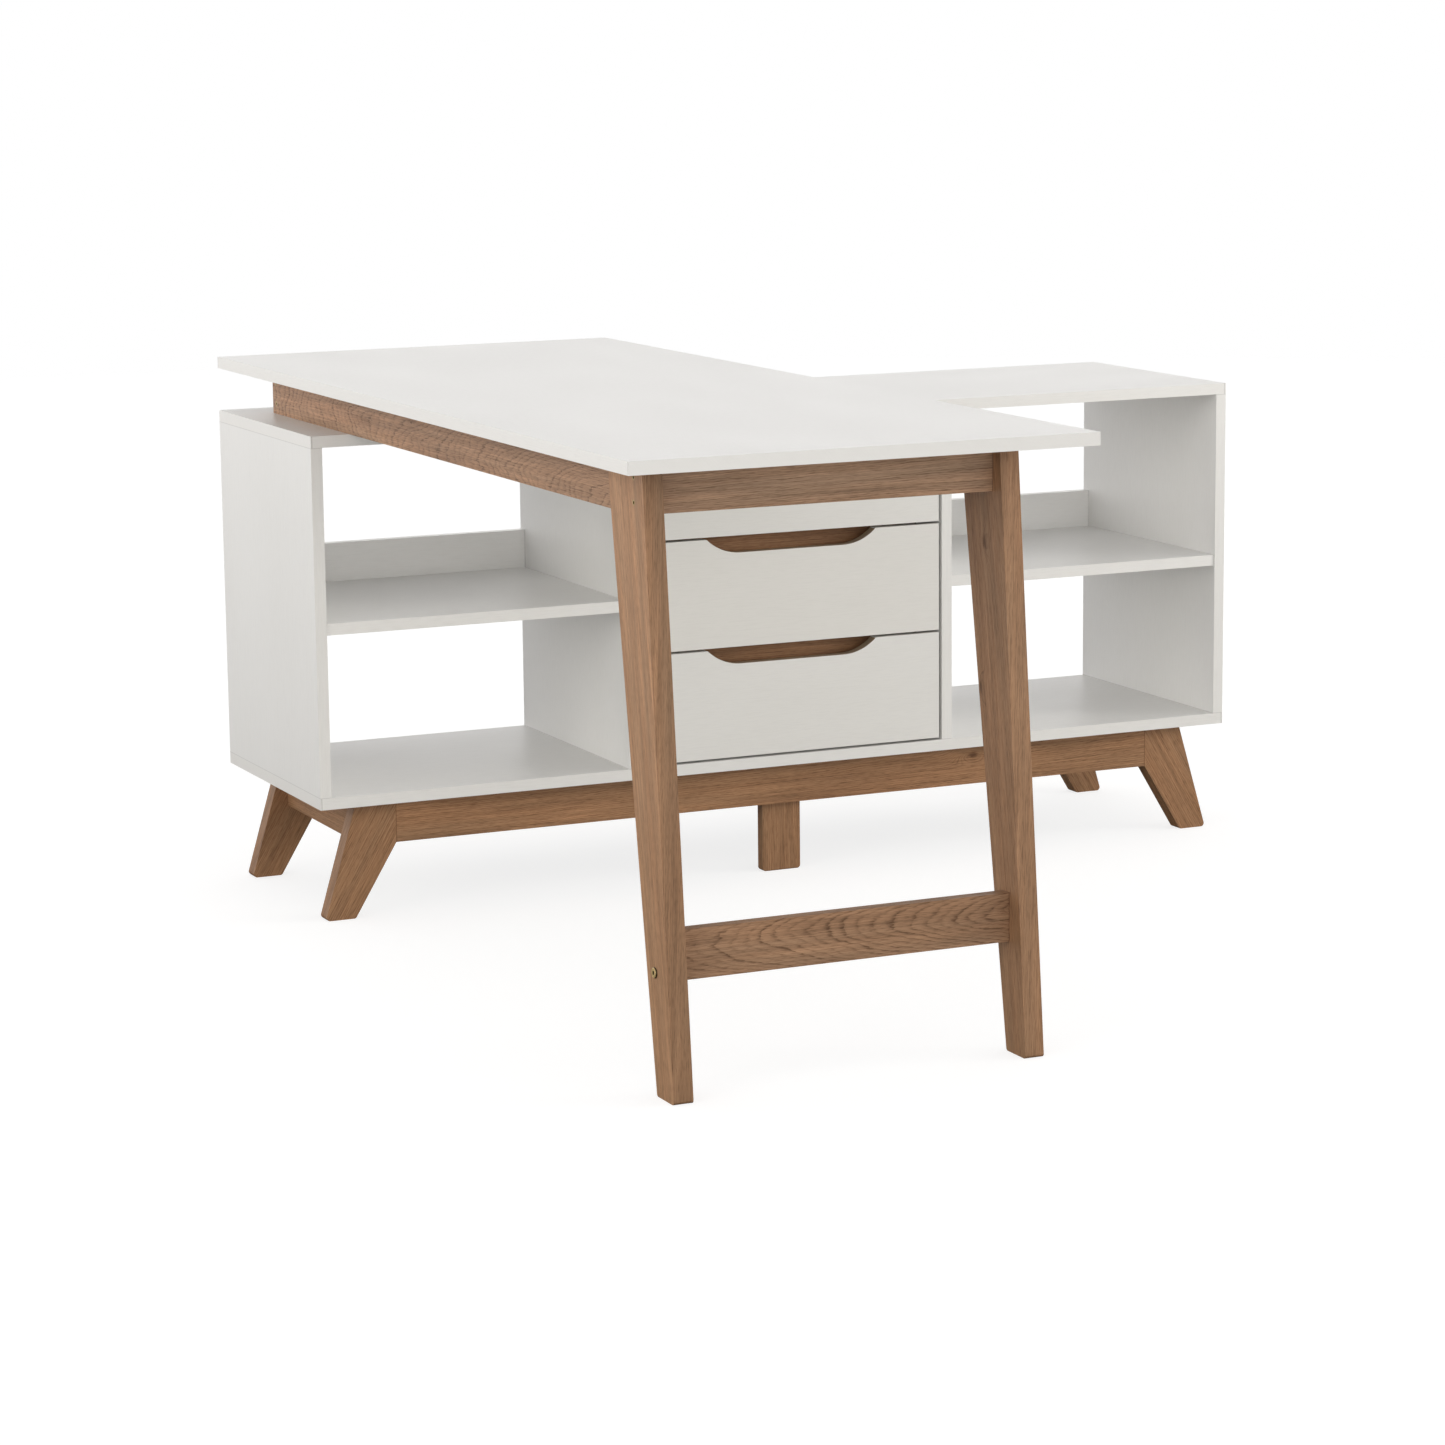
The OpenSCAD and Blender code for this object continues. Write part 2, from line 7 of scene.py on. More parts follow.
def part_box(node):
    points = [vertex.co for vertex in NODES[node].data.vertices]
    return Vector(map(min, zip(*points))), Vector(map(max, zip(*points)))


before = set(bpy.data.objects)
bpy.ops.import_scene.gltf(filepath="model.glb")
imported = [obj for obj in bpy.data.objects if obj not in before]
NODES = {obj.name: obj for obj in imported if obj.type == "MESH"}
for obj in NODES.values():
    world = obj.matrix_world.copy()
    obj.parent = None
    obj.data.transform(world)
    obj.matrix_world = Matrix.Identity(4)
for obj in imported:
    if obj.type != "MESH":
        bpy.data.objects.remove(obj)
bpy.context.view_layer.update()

# The camera stands in front of the desk's leg end, to its left, half a metre above the desk top.
CAMERA_PLACE = Vector((-2.5251, -4.9318, 1.2837))
CAMERA_AIM = Vector((-0.2671, 0.0, 0.3008))
CAMERA_ROLL = math.radians(-0.6)
CAMERA_LENS = 103.4

WHITE = (1.0, 1.0, 1.0, 1.0)

# Light. The room's strength runs from the wall's at eye level to the ceiling's at CEILING_SLOPE, the
# upward part of the direction. Each lamp has a name, a place, a size and a power.
ROOM_COLOR = (1.0, 0.99, 0.985, 1.0)
CEILING_STRENGTH = 0.55
WALL_STRENGTH = 1.86
CEILING_SLOPE = 0.7
LAMP_AIM = (0.0, 0.0, 0.4)
LAMP_COLOR = (1.0, 0.97, 0.87)
LAMPS = [
    ("left_lamp", (-9.0, -4.0, 2.6), 5.0, 166.0),
    ("front_lamp", (-3.0, -11.0, 0.9), 4.0, 70.0),
    ("right_lamp", (9.0, -4.0, 1.6), 5.0, 390.0),
    ("back_lamp", (2.0, 9.0, 4.0), 5.0, 15.0),
]

# The floor that the camera sees: its size, the distances between which it fades out, its colour and
# how much it glows. The floor that light bounces off is darker near the desk, painted shade for the
# desk's shadow on the floor: the two pairs are a distance from the middle and the grey that it has there.
FLOOR_RADIUS = 9.0
FLOOR_FADE = (0.45 * FLOOR_RADIUS, 0.95 * FLOOR_RADIUS)
FLOOR_GREY = (0.35, 0.35, 0.35, 1.0)
FLOOR_GLOW = 0.76
BOUNCE_NEAR = (0.9, 0.10)
BOUNCE_FAR = (3.0, 0.55)
BOUNCE_HEIGHT = -0.001

# How far the sharp edges of white boards, drawer fronts and wooden boards are softened, in metres.
WHITE_EDGE = 0.0007
FRONT_EDGE = 0.0015
WOOD_EDGE = 0.0016

# White laminate: the colours that its faces vary between, its edge band, its grain and its seams.
LAMINATE_GREY = (0.815, 0.809, 0.792)
LAMINATE_WHITE = (0.832, 0.826, 0.811)
BAND_COLOR = (0.822, 0.811, 0.787)
GRAIN_COLOR = (0.40, 0.39, 0.37)
SEAM_COLOR = (0.16, 0.145, 0.125)
BAND_THICK = 0.0018  # how far from a board's banded end the seam lies, in metres

# White boards that are a little darker, lighter or warmer than the rest, and how bright the ends are.
# These are painted light and shade, for how light falls on each board.
FACE_LIGHT_AND_SHADE = {
    "left_shelf": (1.05, 1.05, 1.05),
    "right_shelf": (1.02, 1.02, 1.02),
    "left_shelf_rail": (1.08, 1.08, 1.08),
    "left_divider": (0.97, 0.97, 0.97),
    "bottom_drawer_front": (0.955, 0.95, 0.935),
    "middle_drawer_front": (0.945, 0.935, 0.91),
    "top_drawer_front": (0.955, 0.95, 0.93),
}
# The desk top's front and back edges are painted darker: painted shade.
END_PAINTED_SHADE = {"desk_top": 0.89}

# The faces of the handle cut-outs are coloured a mid brown, darker than the laminate round them.
CUT_OUT_HALF_LENGTH = 0.132
CUT_OUT_COLOR = (0.330, 0.245, 0.165)

# Oak foil: the colours of its light parts, and of its lines and knots.
WOOD_WARM = (0.400, 0.236, 0.140)
WOOD_GREY = (0.350, 0.221, 0.138)
WOOD_DARK = (0.120, 0.066, 0.037)

# How a board was cut from the tree, in metres: how far aside and how deep the heart lies from the
# board's middle, how much deeper it gets for each metre along the board, how wide a year's ring is,
# by how many rings the lines wander, and how dark the lines are.
STRAIGHT = {"aside": 0.30, "depth": 0.02, "slant": 0.01, "ring": 0.0030, "wander": 0.5, "dark": 0.55}
ARCHED = {"aside": -0.003, "depth": 0.080, "slant": -0.060, "ring": 0.0014, "wander": 0.9, "dark": 0.85}
WAVY = {"aside": 0.014, "depth": 0.100, "slant": 0.110, "ring": 0.0022, "wander": 1.4, "dark": 0.80}
LEANING = {"aside": 0.060, "depth": 0.050, "slant": 0.060, "ring": 0.0022, "wander": 0.8, "dark": 0.60}

# How the ring lines sway: waves for each metre along and across a board, and by how many rings.
SWAYS = [(3.0, 14.0, 2.2), (22.0, 60.0, 0.30), (90.0, 260.0, 0.14)]

# How dark a year's ring is from its start to the next one's.
RING_SHADES = [(0.0, 0.30), (0.06, 1.0), (0.16, 0.85), (0.38, 0.25), (0.80, 0.0), (1.0, 0.30)]

# A knot: its width against its length, how wide its dark core and its swelling are, and how far the
# swelling pushes the rings, in metres.
KNOT_SHAPE = 0.40
KNOT_CORE = 0.0034
KNOT_SWELLING = 0.011
KNOT_PUSH = 0.016

# Beech, painted hardboard and plated metal. A screw's recess starts to darken RECESS_RIM below the
# face of its head, and is dark as far down again: partly dark oxide, partly painted shade in the hollow.
BEECH_DARK = (0.50, 0.34, 0.20)
BEECH_LIGHT = (0.66, 0.49, 0.31)
HARDBOARD_DARK = (0.70, 0.69, 0.66)
HARDBOARD_LIGHT = (0.76, 0.75, 0.72)
SCREW_BRASS = (0.48, 0.35, 0.16)
BOLT_BRASS = (0.76, 0.56, 0.25)
STEEL = (0.60, 0.60, 0.61)
RECESS_COLOR = (0.02, 0.017, 0.012)
RECESS_RIM = 0.0004

X = Vector((1, 0, 0))
Y = Vector((0, 1, 0))
Z = Vector((0, 0, 1))


# ---------- camera, light and floor ----------

def make_camera():
    camera = bpy.data.objects.new("camera", bpy.data.cameras.new("camera"))
    bpy.context.collection.objects.link(camera)
    camera.data.lens = CAMERA_LENS
    camera.data.sensor_width = 36.0
    camera.data.clip_end = 100.0
    turn = (CAMERA_AIM - CAMERA_PLACE).to_track_quat("-Z", "Y").to_matrix().to_4x4()
    camera.matrix_world = Matrix.Translation(CAMERA_PLACE) @ turn @ Matrix.Rotation(CAMERA_ROLL, 4, "Z")
    bpy.context.scene.camera = camera


def area_light(name, place, aim, size, power):
    light = bpy.data.objects.new(name, bpy.data.lights.new(name, "AREA"))
    bpy.context.collection.objects.link(light)
    light.data.shape = "DISK"
    light.data.size = size
    light.data.energy = power
    light.data.color = LAMP_COLOR
    light.location = place
    light.rotation_euler = (Vector(aim) - Vector(place)).to_track_quat("-Z", "Y").to_euler()
    light.visible_camera = False
    light.visible_glossy = False


def make_light():
    """A soft white room, whose walls and ceiling have their own strengths, and large lamps. The
    camera sees plain white behind the object."""
    g = Graph(bpy.data.worlds.new("studio"))
    bpy.context.scene.world = g.owner
    height = g.dot(g.tree.nodes.new("ShaderNodeTexCoord").outputs["Generated"], Z)
    strength = g.map(height, 0.0, CEILING_SLOPE, WALL_STRENGTH, CEILING_STRENGTH)
    room = g.tree.nodes["Background"]
    room.inputs["Color"].default_value = ROOM_COLOR
    g.set_input(room.inputs["Strength"], strength)
    backdrop = g.tree.nodes.new("ShaderNodeBackground")
    backdrop.inputs["Color"].default_value = WHITE
    choose = g.tree.nodes.new("ShaderNodeMixShader")
    g.set_input(choose.inputs["Fac"], g.tree.nodes.new("ShaderNodeLightPath").outputs["Is Camera Ray"])
    g.set_input(choose.inputs[1], room.outputs[0])
    g.set_input(choose.inputs[2], backdrop.outputs[0])
    g.set_input(g.tree.nodes["World Output"].inputs["Surface"], choose.outputs[0])
    for name, place, size, power in LAMPS:
        area_light(name, place, LAMP_AIM, size, power)


def disc(name, radius, height):
    corners = 64
    turns = [2 * math.pi * i / corners for i in range(corners)]
    mesh = bpy.data.meshes.new(name)
    mesh.from_pydata([(radius * math.cos(a), radius * math.sin(a), height) for a in turns], [],
                     [tuple(range(corners))])
    flat = bpy.data.objects.new(name, mesh)
    bpy.context.collection.objects.link(flat)
    return flat


def make_floor():
    """A white floor that the camera sees, and just below it a greyer one that the light bounces off,
    so that the floor looks pale and the object's underside still falls into shade."""
    floor = disc("floor", FLOOR_RADIUS, 0.0)
    g = new_material("floor_pale")
    fade = g.map(g.length(g.position()), *FLOOR_FADE, 1.0, 0.0)
    g.tree.links.new(fade, g.shader.inputs["Alpha"])
    g.shader.inputs["Specular IOR Level"].default_value = 0.0
    g.shader.inputs["Emission Color"].default_value = WHITE
    g.shader.inputs["Emission Strength"].default_value = FLOOR_GLOW
    floor.data.materials.append(g.finish(FLOOR_GREY, 0.8))
    floor.visible_diffuse = False
    floor.visible_glossy = False

    bounce = disc("floor_bounce", FLOOR_RADIUS, BOUNCE_HEIGHT)
    g = new_material("floor_grey")
    (near, near_grey), (far, far_grey) = BOUNCE_NEAR, BOUNCE_FAR
    # Painted shade: the grey darkens towards the desk, for the desk's shadow on the floor.
    grey = g.map(g.length(g.position()), near, far, near_grey, far_grey)
    bounce.data.materials.append(g.finish(g.combine(grey, grey, grey), 0.8))
    bounce.visible_camera = False


# ---------- materials ----------

class Graph:
    """Short calls for building the nodes of one material, or of the world."""

    def __init__(self, owner):
        owner.use_nodes = True
        self.owner = owner
        self.tree = owner.node_tree
        self.shader = self.tree.nodes.get("Principled BSDF")

    def set_input(self, socket, value):
        if isinstance(value, bpy.types.NodeSocket):
            self.tree.links.new(value, socket)
        else:
            socket.default_value = value

    def math(self, operation, a, b=0.0, clamp=False):
        node = self.tree.nodes.new("ShaderNodeMath")
        node.operation = operation
        node.use_clamp = clamp
        self.set_input(node.inputs[0], a)
        self.set_input(node.inputs[1], b)
        return node.outputs[0]

    def position(self):
        return self.tree.nodes.new("ShaderNodeTexCoord").outputs["Object"]

    def dot(self, vector, direction):
        node = self.tree.nodes.new("ShaderNodeVectorMath")
        node.operation = "DOT_PRODUCT"
        self.tree.links.new(vector, node.inputs[0])
        node.inputs[1].default_value = tuple(direction)
        return node.outputs["Value"]

    def length(self, vector):
        node = self.tree.nodes.new("ShaderNodeVectorMath")
        node.operation = "LENGTH"
        self.tree.links.new(vector, node.inputs[0])
        return node.outputs["Value"]

    def combine(self, x, y, z):
        node = self.tree.nodes.new("ShaderNodeCombineXYZ")
        for socket, value in zip(node.inputs, (x, y, z)):
            self.set_input(socket, value)
        return node.outputs[0]

    def noise(self, vector, scale=1.0, detail=2.0, roughness=0.5):
        node = self.tree.nodes.new("ShaderNodeTexNoise")
        self.tree.links.new(vector, node.inputs["Vector"])
        node.inputs["Scale"].default_value = scale
        node.inputs["Detail"].default_value = detail
        node.inputs["Roughness"].default_value = roughness
        return node.outputs["Fac"]

    def map(self, value, low, high, to_low=0.0, to_high=1.0):
        node = self.tree.nodes.new("ShaderNodeMapRange")
        self.set_input(node.inputs["Value"], value)
        node.inputs["From Min"].default_value = low
        node.inputs["From Max"].default_value = high
        node.inputs["To Min"].default_value = to_low
        node.inputs["To Max"].default_value = to_high
        return node.outputs["Result"]

    def ramp(self, factor, stops):
        node = self.tree.nodes.new("ShaderNodeValToRGB")
        self.set_input(node.inputs["Fac"], factor)
        elements = node.color_ramp.elements
        while len(elements) < len(stops):
            elements.new(1.0)
        for element, (place, color) in zip(elements, stops):
            element.position = place
            element.color = (*color, 1.0)
        return node.outputs["Color"]

    def mix(self, factor, a, b, mode="MIX"):
        node = self.tree.nodes.new("ShaderNodeMix")
        node.data_type = "RGBA"
        node.blend_type = mode
        self.set_input(node.inputs[0], factor)
        for socket, value in ((node.inputs[6], a), (node.inputs[7], b)):
            self.set_input(socket, value if isinstance(value, bpy.types.NodeSocket) else (*value, 1.0))
        return node.outputs[2]

    def bump(self, height, strength, distance):
        node = self.tree.nodes.new("ShaderNodeBump")
        self.tree.links.new(height, node.inputs["Height"])
        node.inputs["Strength"].default_value = strength
        node.inputs["Distance"].default_value = distance
        self.tree.links.new(node.outputs["Normal"], self.shader.inputs["Normal"])

    def finish(self, color, roughness):
        self.set_input(self.shader.inputs["Base Color"], color)
        self.set_input(self.shader.inputs["Roughness"], roughness)
        return self.owner


def new_material(name):
    return Graph(bpy.data.materials.new(name))


def board_of(node):
    """A board's middle and its half sizes."""
    low, high = (Vector(corner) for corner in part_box(node))
    return (low + high) / 2, (high - low) / 2


def flow_round_knots(g, u, t, reach, knots):
    """Makes the rings flow round small knots, and returns them with how dark the knots are."""
    dark = 0.0
    for along, aside in knots:
        du = g.math("MULTIPLY", g.math("SUBTRACT", u, along), KNOT_SHAPE)
        dt = g.math("SUBTRACT", t, aside)
        square = g.math("ADD", g.math("MULTIPLY", du, du), g.math("MULTIPLY", dt, dt))
        swell = g.math("EXPONENT", g.math("MULTIPLY", square, -1.0 / KNOT_SWELLING ** 2))
        core = g.math("EXPONENT", g.math("MULTIPLY", square, -1.0 / KNOT_CORE ** 2))
        reach = g.math("ADD", reach, g.math("MULTIPLY", swell, KNOT_PUSH))
        dark = g.math("ADD", core, dark)
    return reach, dark


def ring_lines(g, u, t, cut, streaks, knots):
    """The dark lines of the growth rings, and the knots that they flow round."""
    side = g.math("SUBTRACT", t, cut["aside"])
    deep = g.math("ADD", g.math("MULTIPLY", u, cut["slant"]), cut["depth"])
    reach = g.math("SQRT", g.math("ADD", g.math("MULTIPLY", side, side), g.math("MULTIPLY", deep, deep)))
    reach, knot = flow_round_knots(g, u, t, reach, knots)
    rings = g.math("MULTIPLY", reach, 1.0 / cut["ring"])
    for along, across, sway in SWAYS:
        sway = sway * cut["wander"]
        rings = g.math("ADD", rings, g.map(streaks(along, across), 0.25, 0.75, -sway, sway))
    line = g.ramp(g.math("FRACT", rings), [(place, 3 * (shade,)) for place, shade in RING_SHADES])
    year = g.tree.nodes.new("ShaderNodeTexWhiteNoise")
    year.noise_dimensions = "1D"
    g.tree.links.new(g.math("FLOOR", rings), year.inputs["W"])
    return g.math("MULTIPLY", line, g.map(year.outputs["Value"], 0.0, 1.0, 0.40, 1.0)), knot


def oak_foil(node, along, face, seed, cut, tone, narrow, knots):
    """Oak-look foil on one board, whose grain runs along and whose wide side faces face. Its tone is the
    board's tint together with painted light and shade, and its narrow faces are narrow times as bright,
    painted shade for the light that falls less on them."""
    g = new_material(f"oak_{node}")
    p = g.position()
    middle, half = board_of(node)
    wrap = along.cross(face).normalized() + face
    u = g.math("SUBTRACT", g.dot(p, along), middle.dot(along))
    t = g.math("SUBTRACT", g.dot(p, wrap), middle.dot(wrap))

    def streaks(per_metre_along, per_metre_across, detail=2.0, rough=0.5):
        spot = g.combine(g.math("MULTIPLY", u, per_metre_along), g.math("MULTIPLY", t, per_metre_across),
                         seed + 0.001 * per_metre_across)
        return g.noise(spot, 1.0, detail, rough)

    normal = g.tree.nodes.new("ShaderNodeNewGeometry").outputs["True Normal"]
    wide_side = g.map(g.math("ABSOLUTE", g.dot(normal, face)), 0.3, 0.8)

    # Fine fibres, and short dark pores that crowd along the ring lines.
    line, knot = ring_lines(g, u, t, cut, streaks, knots)
    line = g.math("MULTIPLY", line, g.map(wide_side, 0.0, 1.0, 0.5 * cut["dark"], cut["dark"]))
    fibre = streaks(11.0, 560.0, 3.0, 0.65)
    pore = g.map(streaks(80.0, 1100.0, 1.0), 0.50, 0.64)
    dashes = g.map(streaks(75.0, 520.0, 2.0), 0.40, 0.56, 0.35, 1.0)
    dark = g.math("ADD", g.math("MULTIPLY", line, dashes),
                  g.map(fibre, 0.38, 0.66, 0.0, 0.34))
    dark = g.math("ADD", dark, g.math("MULTIPLY", pore, 0.28))
    dark = g.math("ADD", dark, g.math("MULTIPLY", knot, 0.8), clamp=True)
    light = g.mix(g.map(streaks(2.5, 40.0), 0.35, 0.65), WOOD_WARM, WOOD_GREY)
    color = g.mix(dark, light, WOOD_DARK)

    # A dark hairline where a straight board's end meets the next piece.
    if max(along) > 0.999:
        from_end = g.math("SUBTRACT", half.dot(along), g.math("ABSOLUTE", u))
        color = g.mix(g.map(from_end, 0.0006, 0.0014, 0.75, 0.0), color, WOOD_DARK)

    # Broad lighter and darker stretches, the board's tone with its painted light and shade, and the
    # painted shade on the board's narrow faces.
    shade = g.math("MULTIPLY", g.map(streaks(4.0, 55.0), 0.3, 0.7, 0.86, 1.14),
                   g.map(streaks(7.0, 190.0), 0.3, 0.7, 0.88, 1.12))
    color = g.mix(1.0, color, g.combine(*(g.math("MULTIPLY", shade, share) for share in tone)), "MULTIPLY")
    narrow_face_shade = g.map(wide_side, 0.0, 1.0, narrow, 1.0)
    color = g.mix(1.0, color, g.combine(narrow_face_shade, narrow_face_shade, narrow_face_shade), "MULTIPLY")
    g.bump(g.math("SUBTRACT", 1.0, dark), 0.30, 0.0003)
    g.shader.inputs["Specular IOR Level"].default_value = 0.30
    return g.finish(color, g.map(fibre, 0.3, 0.7, 0.46, 0.58))


def cut_out_faces(g, p, node, band):
    """Which of a drawer front's narrow faces belong to its handle cut-out."""
    middle = board_of(node)[0]
    aside = g.math("ABSOLUTE", g.math("SUBTRACT", g.dot(p, X), middle.x))
    inside = g.math("LESS_THAN", aside, CUT_OUT_HALF_LENGTH)
    above = g.math("GREATER_THAN", g.dot(p, Z), middle.z)
    return g.math("MULTIPLY", band, g.math("MULTIPLY", inside, above))


def white_laminate(node, long, thin, seed, end):
    """Satin white laminate with a faint pressed grain. The narrow faces carry the edge band, a touch
    warmer and smoother. A board's ends are either raw in a joint, where they show as a hairline, or
    banded over the side bands, which leaves a hairline just short of the corner."""
    g = new_material(f"laminate_{node}")
    p = g.position()
    middle, half = board_of(node)
    wide = long.cross(thin)
    u = g.dot(p, long)
    t = g.math("ADD", g.dot(p, wide), g.dot(p, thin))
    from_middle = g.math("ABSOLUTE", g.math("SUBTRACT", u, middle.dot(long)))
    from_end = g.math("SUBTRACT", half.dot(long), from_middle)
    normal = g.tree.nodes.new("ShaderNodeNewGeometry").outputs["True Normal"]
    band = g.map(g.math("ABSOLUTE", g.dot(normal, thin)), 0.3, 0.8, 1.0, 0.0)

    cloud = g.noise(g.combine(g.math("MULTIPLY", u, 3.0), g.math("MULTIPLY", t, 9.0), seed), 1.0, 3.0)
    grain_at = g.combine(g.math("MULTIPLY", u, 45.0), g.math("MULTIPLY", t, 700.0), seed)
    grain = g.noise(grain_at, 1.0, 3.0, 0.6)
    face = g.mix(g.map(cloud, 0.3, 0.7), LAMINATE_GREY, LAMINATE_WHITE)
    end_face = g.map(g.math("ABSOLUTE", g.dot(normal, long)), 0.3, 0.8)
    color = g.mix(band, face, BAND_COLOR)
    # Painted light and shade: each board's tone and the brightness of its ends.
    tone = g.mix(end_face, FACE_LIGHT_AND_SHADE.get(node, (1.0, 1.0, 1.0)), 3 * (END_PAINTED_SHADE.get(node, 1.0),))
    color = g.mix(1.0, color, tone, "MULTIPLY")
    color = g.mix(g.map(grain, 0.45, 0.75, 0.0, 0.08), color, GRAIN_COLOR)
    if end == "joint":
        seam = g.map(from_end, 0.0007, 0.0011, 0.25, 0.0)
    else:
        from_seam = g.math("ABSOLUTE", g.math("SUBTRACT", from_end, BAND_THICK))
        seam = g.math("MULTIPLY", g.map(from_seam, 0.0003, 0.0008, 0.4, 0.0), band)
    color = g.mix(seam, color, SEAM_COLOR)
    if node.endswith("drawer_front"):
        color = g.mix(cut_out_faces(g, p, node, band), color, CUT_OUT_COLOR)
    g.bump(grain, 0.10, 0.0002)
    g.shader.inputs["Specular IOR Level"].default_value = 0.25
    rough = g.map(cloud, 0.3, 0.7, 0.38, 0.46)
    return g.finish(color, g.math("SUBTRACT", rough, g.math("MULTIPLY", band, 0.06)))


def plain_beech():
    g = new_material("beech_plain")
    p = g.position()
    stretched = g.combine(g.math("MULTIPLY", g.dot(p, X), 400.0), g.math("MULTIPLY", g.dot(p, Y), 12.0),
                          g.math("MULTIPLY", g.dot(p, Z), 400.0))
    grain = g.noise(stretched, 1.0, 3.0, 0.6)
    color = g.ramp(grain, [(0.3, BEECH_DARK), (0.7, BEECH_LIGHT)])
    g.bump(grain, 0.15, 0.0003)
    return g.finish(color, 0.55)


def painted_hardboard():
    g = new_material("hardboard_white")
    p = g.position()
    fibre = g.noise(p, 700.0, 3.0, 0.7)
    color = g.mix(g.map(fibre, 0.35, 0.65), HARDBOARD_DARK, HARDBOARD_LIGHT)
    g.bump(fibre, 0.25, 0.0002)
    return g.finish(color, 0.6)


def metal(name, color, roughness, shine=1.0, recess=None):
    """Plated metal, bright or, with less shine, matt. recess gives the plane from which the recesses on
    both sides of the desk frame are measured, and how far out they start to darken."""
    g = new_material(name)
    p = g.position()
    wear = g.noise(p, 1400.0, 3.0, 0.6)
    g.shader.inputs["Metallic"].default_value = shine
    tone = g.mix(g.map(wear, 0.35, 0.65), color, tuple(0.8 * share for share in color))
    if recess:
        plane, reach = recess
        # Painted shade, with dark oxide: the darkening inside the recesses.
        out = g.math("ABSOLUTE", g.math("SUBTRACT", g.dot(p, X), plane))
        tone = g.mix(g.map(out, reach - RECESS_RIM, reach, 0.92, 0.0), tone, RECESS_COLOR)
    return g.finish(tone, g.map(wear, 0.3, 0.7, roughness - 0.06, roughness + 0.08))


def dress(node, material, edge=0.0):
    """Gives a CAD node its material, and softens its sharp edges by that much."""
    piece = NODES[node]
    piece.data.materials.clear()
    piece.data.materials.append(material)
    if edge:
        weld = piece.modifiers.new("weld", "WELD")
        weld.merge_threshold = 0.00001
        bevel = piece.modifiers.new("soft_edges", "BEVEL")
        bevel.width = edge
        bevel.segments = 2
        bevel.limit_method = "ANGLE"
        bevel.angle_limit = math.radians(40)
        bevel.harden_normals = True


def dress_white():
    """Each white board gets its own laminate, with its long way, its thin way and its kind of ends."""
    boards = [
        ("desk_top", Y, Z, "band"),
        ("cabinet_top_panel", X, Z, "band"),
        ("cabinet_bottom_panel", X, Z, "band"),
        ("left_shelf", X, Z, "joint"),
        ("right_shelf", X, Z, "joint"),
        ("left_side_panel", Z, X, "joint"),
        ("right_side_panel", Z, X, "joint"),
        ("left_divider", Z, X, "joint"),
        ("right_divider", Z, X, "joint"),
        ("left_shelf_rail", X, Y, "joint"),
        ("right_shelf_rail", X, Y, "joint"),
    ]
    for level in ("bottom", "middle", "top"):
        boards += [
            (f"{level}_drawer_front", X, Y, "band"),
            (f"{level}_drawer_back", X, Y, "joint"),
            (f"{level}_drawer_left_side", Y, X, "joint"),
            (f"{level}_drawer_right_side", Y, X, "joint"),
        ]
    for seed, (node, long, thin, end) in enumerate(boards):
        edge = FRONT_EDGE if node.endswith("drawer_front") else WHITE_EDGE
        dress(node, white_laminate(node, long, thin, 3.7 * seed, end), edge)


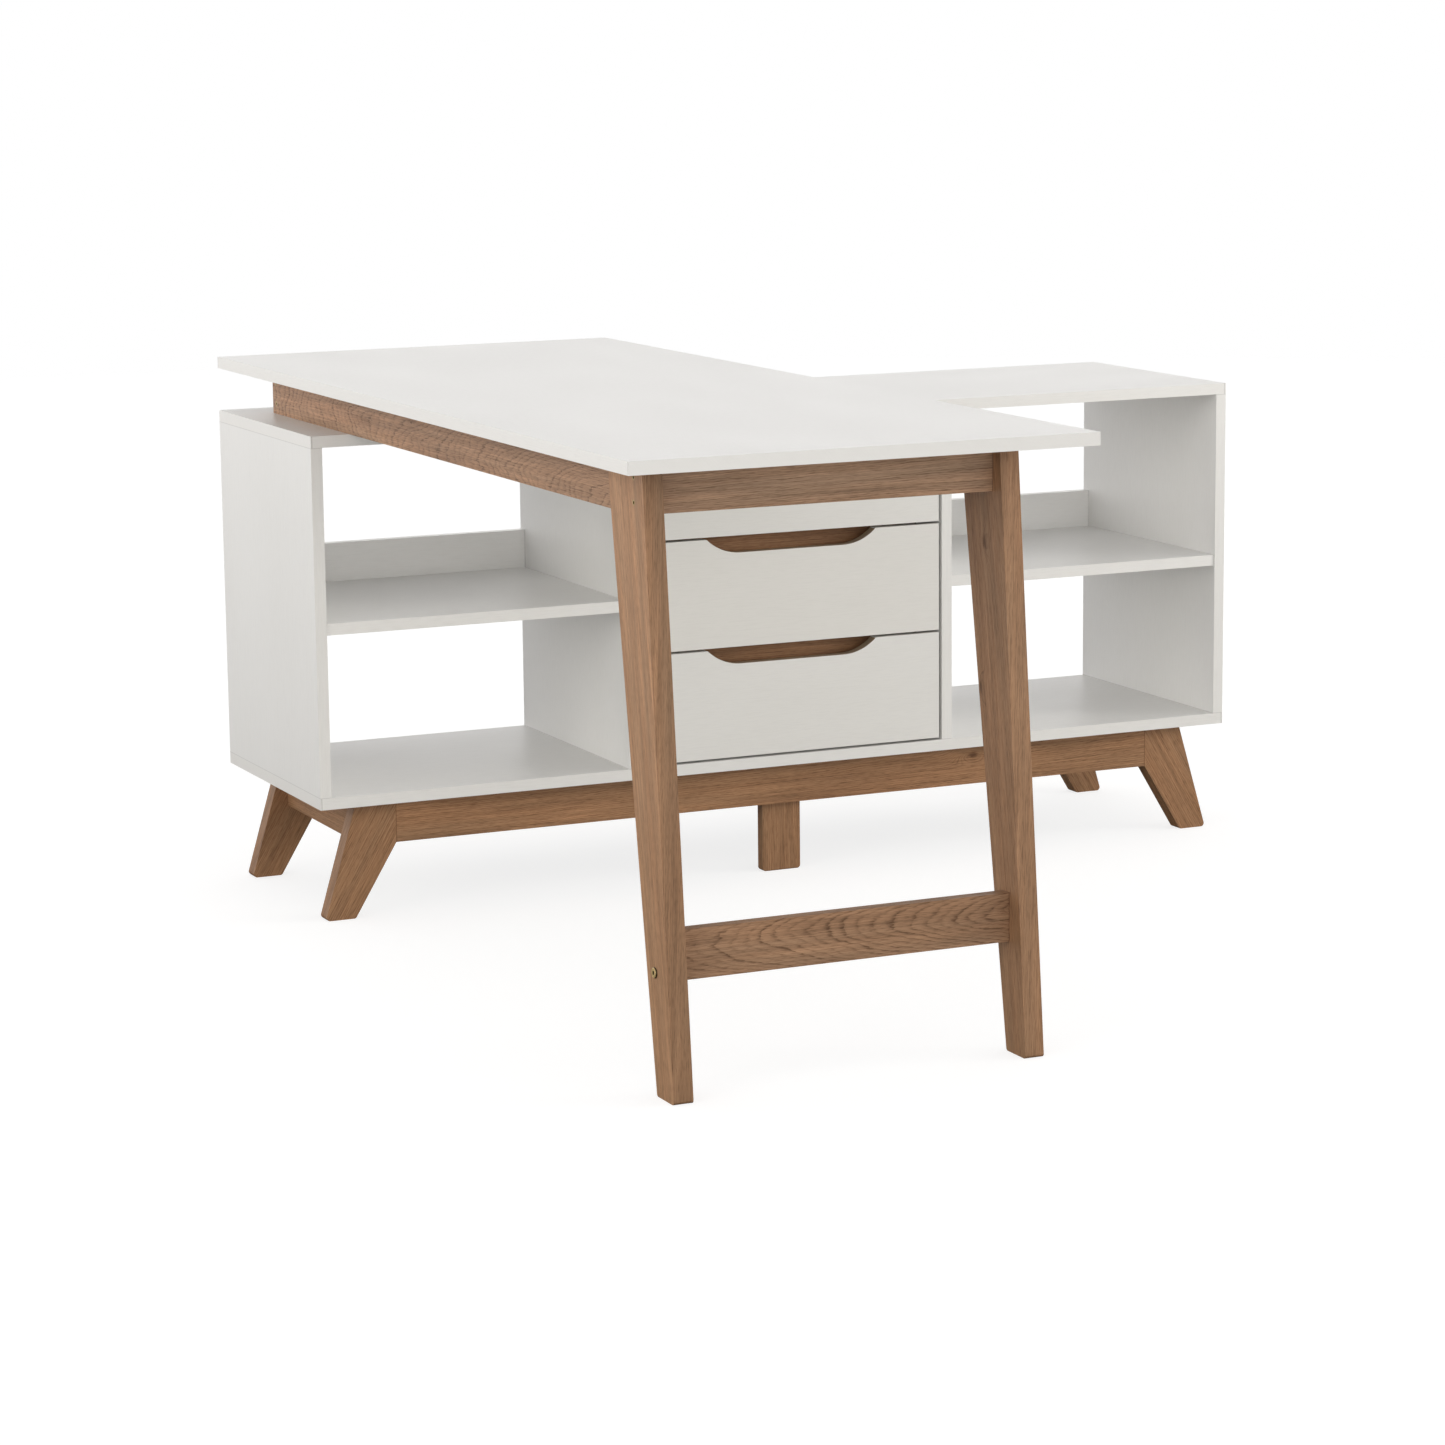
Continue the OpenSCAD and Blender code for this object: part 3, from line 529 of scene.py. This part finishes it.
def dress_wood():
    """Each board gets its own piece of foil, with the grain along the board."""
    # These tones are each foil's tint together with painted light and shade: the left desk leg and the
    # long, end and cross rails are painted lighter, and the right desk leg and the drawer strips darker,
    # for how light falls on them.
    frame_tone = (1.06, 1.01, 0.95)
    left_leg_lit_tone = (1.30, 1.21, 1.08)
    right_leg_shaded_tone = (0.99, 0.91, 0.81)
    rail_lit_tone = (1.19, 1.12, 1.05)
    end_rail_lit_tone = (1.22, 1.25, 1.28)
    base_tone = (1.08, 0.96, 0.81)
    strip_shaded_tone = (0.88, 0.75, 0.60)
    leg_run = Vector((0, 0.119, 0.734)).normalized()
    splay = Vector((0.060, 0, 0.100)).normalized()
    other_splay = Vector((-0.060, 0, 0.100)).normalized()
    boards = [
        ("left_desk_leg", leg_run, X, STRAIGHT, left_leg_lit_tone, 0.68, ()),
        ("right_desk_leg", leg_run, X, STRAIGHT, right_leg_shaded_tone, 0.99, [(0.244, -0.030), (0.071, 0.006)]),
        ("left_long_rail", Y, X, WAVY, rail_lit_tone, 0.9, ()),
        ("right_long_rail", Y, X, WAVY, rail_lit_tone, 0.9, ()),
        ("desk_end_rail", X, Y, LEANING, end_rail_lit_tone, 0.9, ()),
        ("desk_cross_rail", X, Y, LEANING, end_rail_lit_tone, 0.9, ()),
        ("leg_stretcher", X, Y, ARCHED, frame_tone, 0.9, ()),
        ("front_apron", X, Y, LEANING, base_tone, 0.9, [(0.305, 0.005)]),
        ("back_apron", X, Y, STRAIGHT, base_tone, 0.9, [(-0.21, -0.008)]),
        ("left_base_rail", Y, X, STRAIGHT, base_tone, 0.9, ()),
        ("right_base_rail", Y, X, STRAIGHT, base_tone, 0.9, ()),
        ("front_left_base_leg", splay, Y, STRAIGHT, base_tone, 0.9, ()),
        ("back_left_base_leg", splay, Y, STRAIGHT, base_tone, 0.9, ()),
        ("front_right_base_leg", other_splay, Y, STRAIGHT, base_tone, 0.9, ()),
        ("back_right_base_leg", other_splay, Y, STRAIGHT, base_tone, 0.9, ()),
        ("centre_leg", Z, Y, STRAIGHT, base_tone, 0.9, ()),
        ("bottom_drawer_strip", X, Y, STRAIGHT, strip_shaded_tone, 0.9, ()),
        ("middle_drawer_strip", X, Y, STRAIGHT, strip_shaded_tone, 0.9, ()),
        ("top_drawer_strip", X, Y, STRAIGHT, strip_shaded_tone, 0.9, ()),
    ]
    for seed, (node, along, face, cut, tone, narrow, knots) in enumerate(boards):
        foil = oak_foil(node, along, face, 7.3 * seed, cut, tone, narrow, knots)
        dress(node, foil, WOOD_EDGE)


def dress_hidden():
    beech = plain_beech()
    hardboard = painted_hardboard()
    dress("drawer_bay_back", hardboard)
    dress("wooden_dowels", beech)
    for level in ("bottom", "middle", "top"):
        dress(f"{level}_drawer_bottom", hardboard)
        dress(f"{level}_drawer_dowels", beech)
        dress(f"{level}_left_runner", beech, WHITE_EDGE)
        dress(f"{level}_right_runner", beech, WHITE_EDGE)
    frame_middle = board_of("frame_screws")[0].x
    for node, color in (("frame_screws", SCREW_BRASS), ("stretcher_bolts", BOLT_BRASS)):
        recess = (frame_middle, board_of(node)[1].x - RECESS_RIM)
        dress(node, metal(f"brass_{node}", color, 0.42, 0.55, recess))
    steel = metal("steel_plated", STEEL, 0.32)
    for node in ("long_screws", "short_screws"):
        dress(node, steel)


def main():
    bpy.context.scene.view_settings.view_transform = "Standard"
    make_camera()
    make_light()
    make_floor()
    dress_white()
    dress_wood()
    dress_hidden()


main()
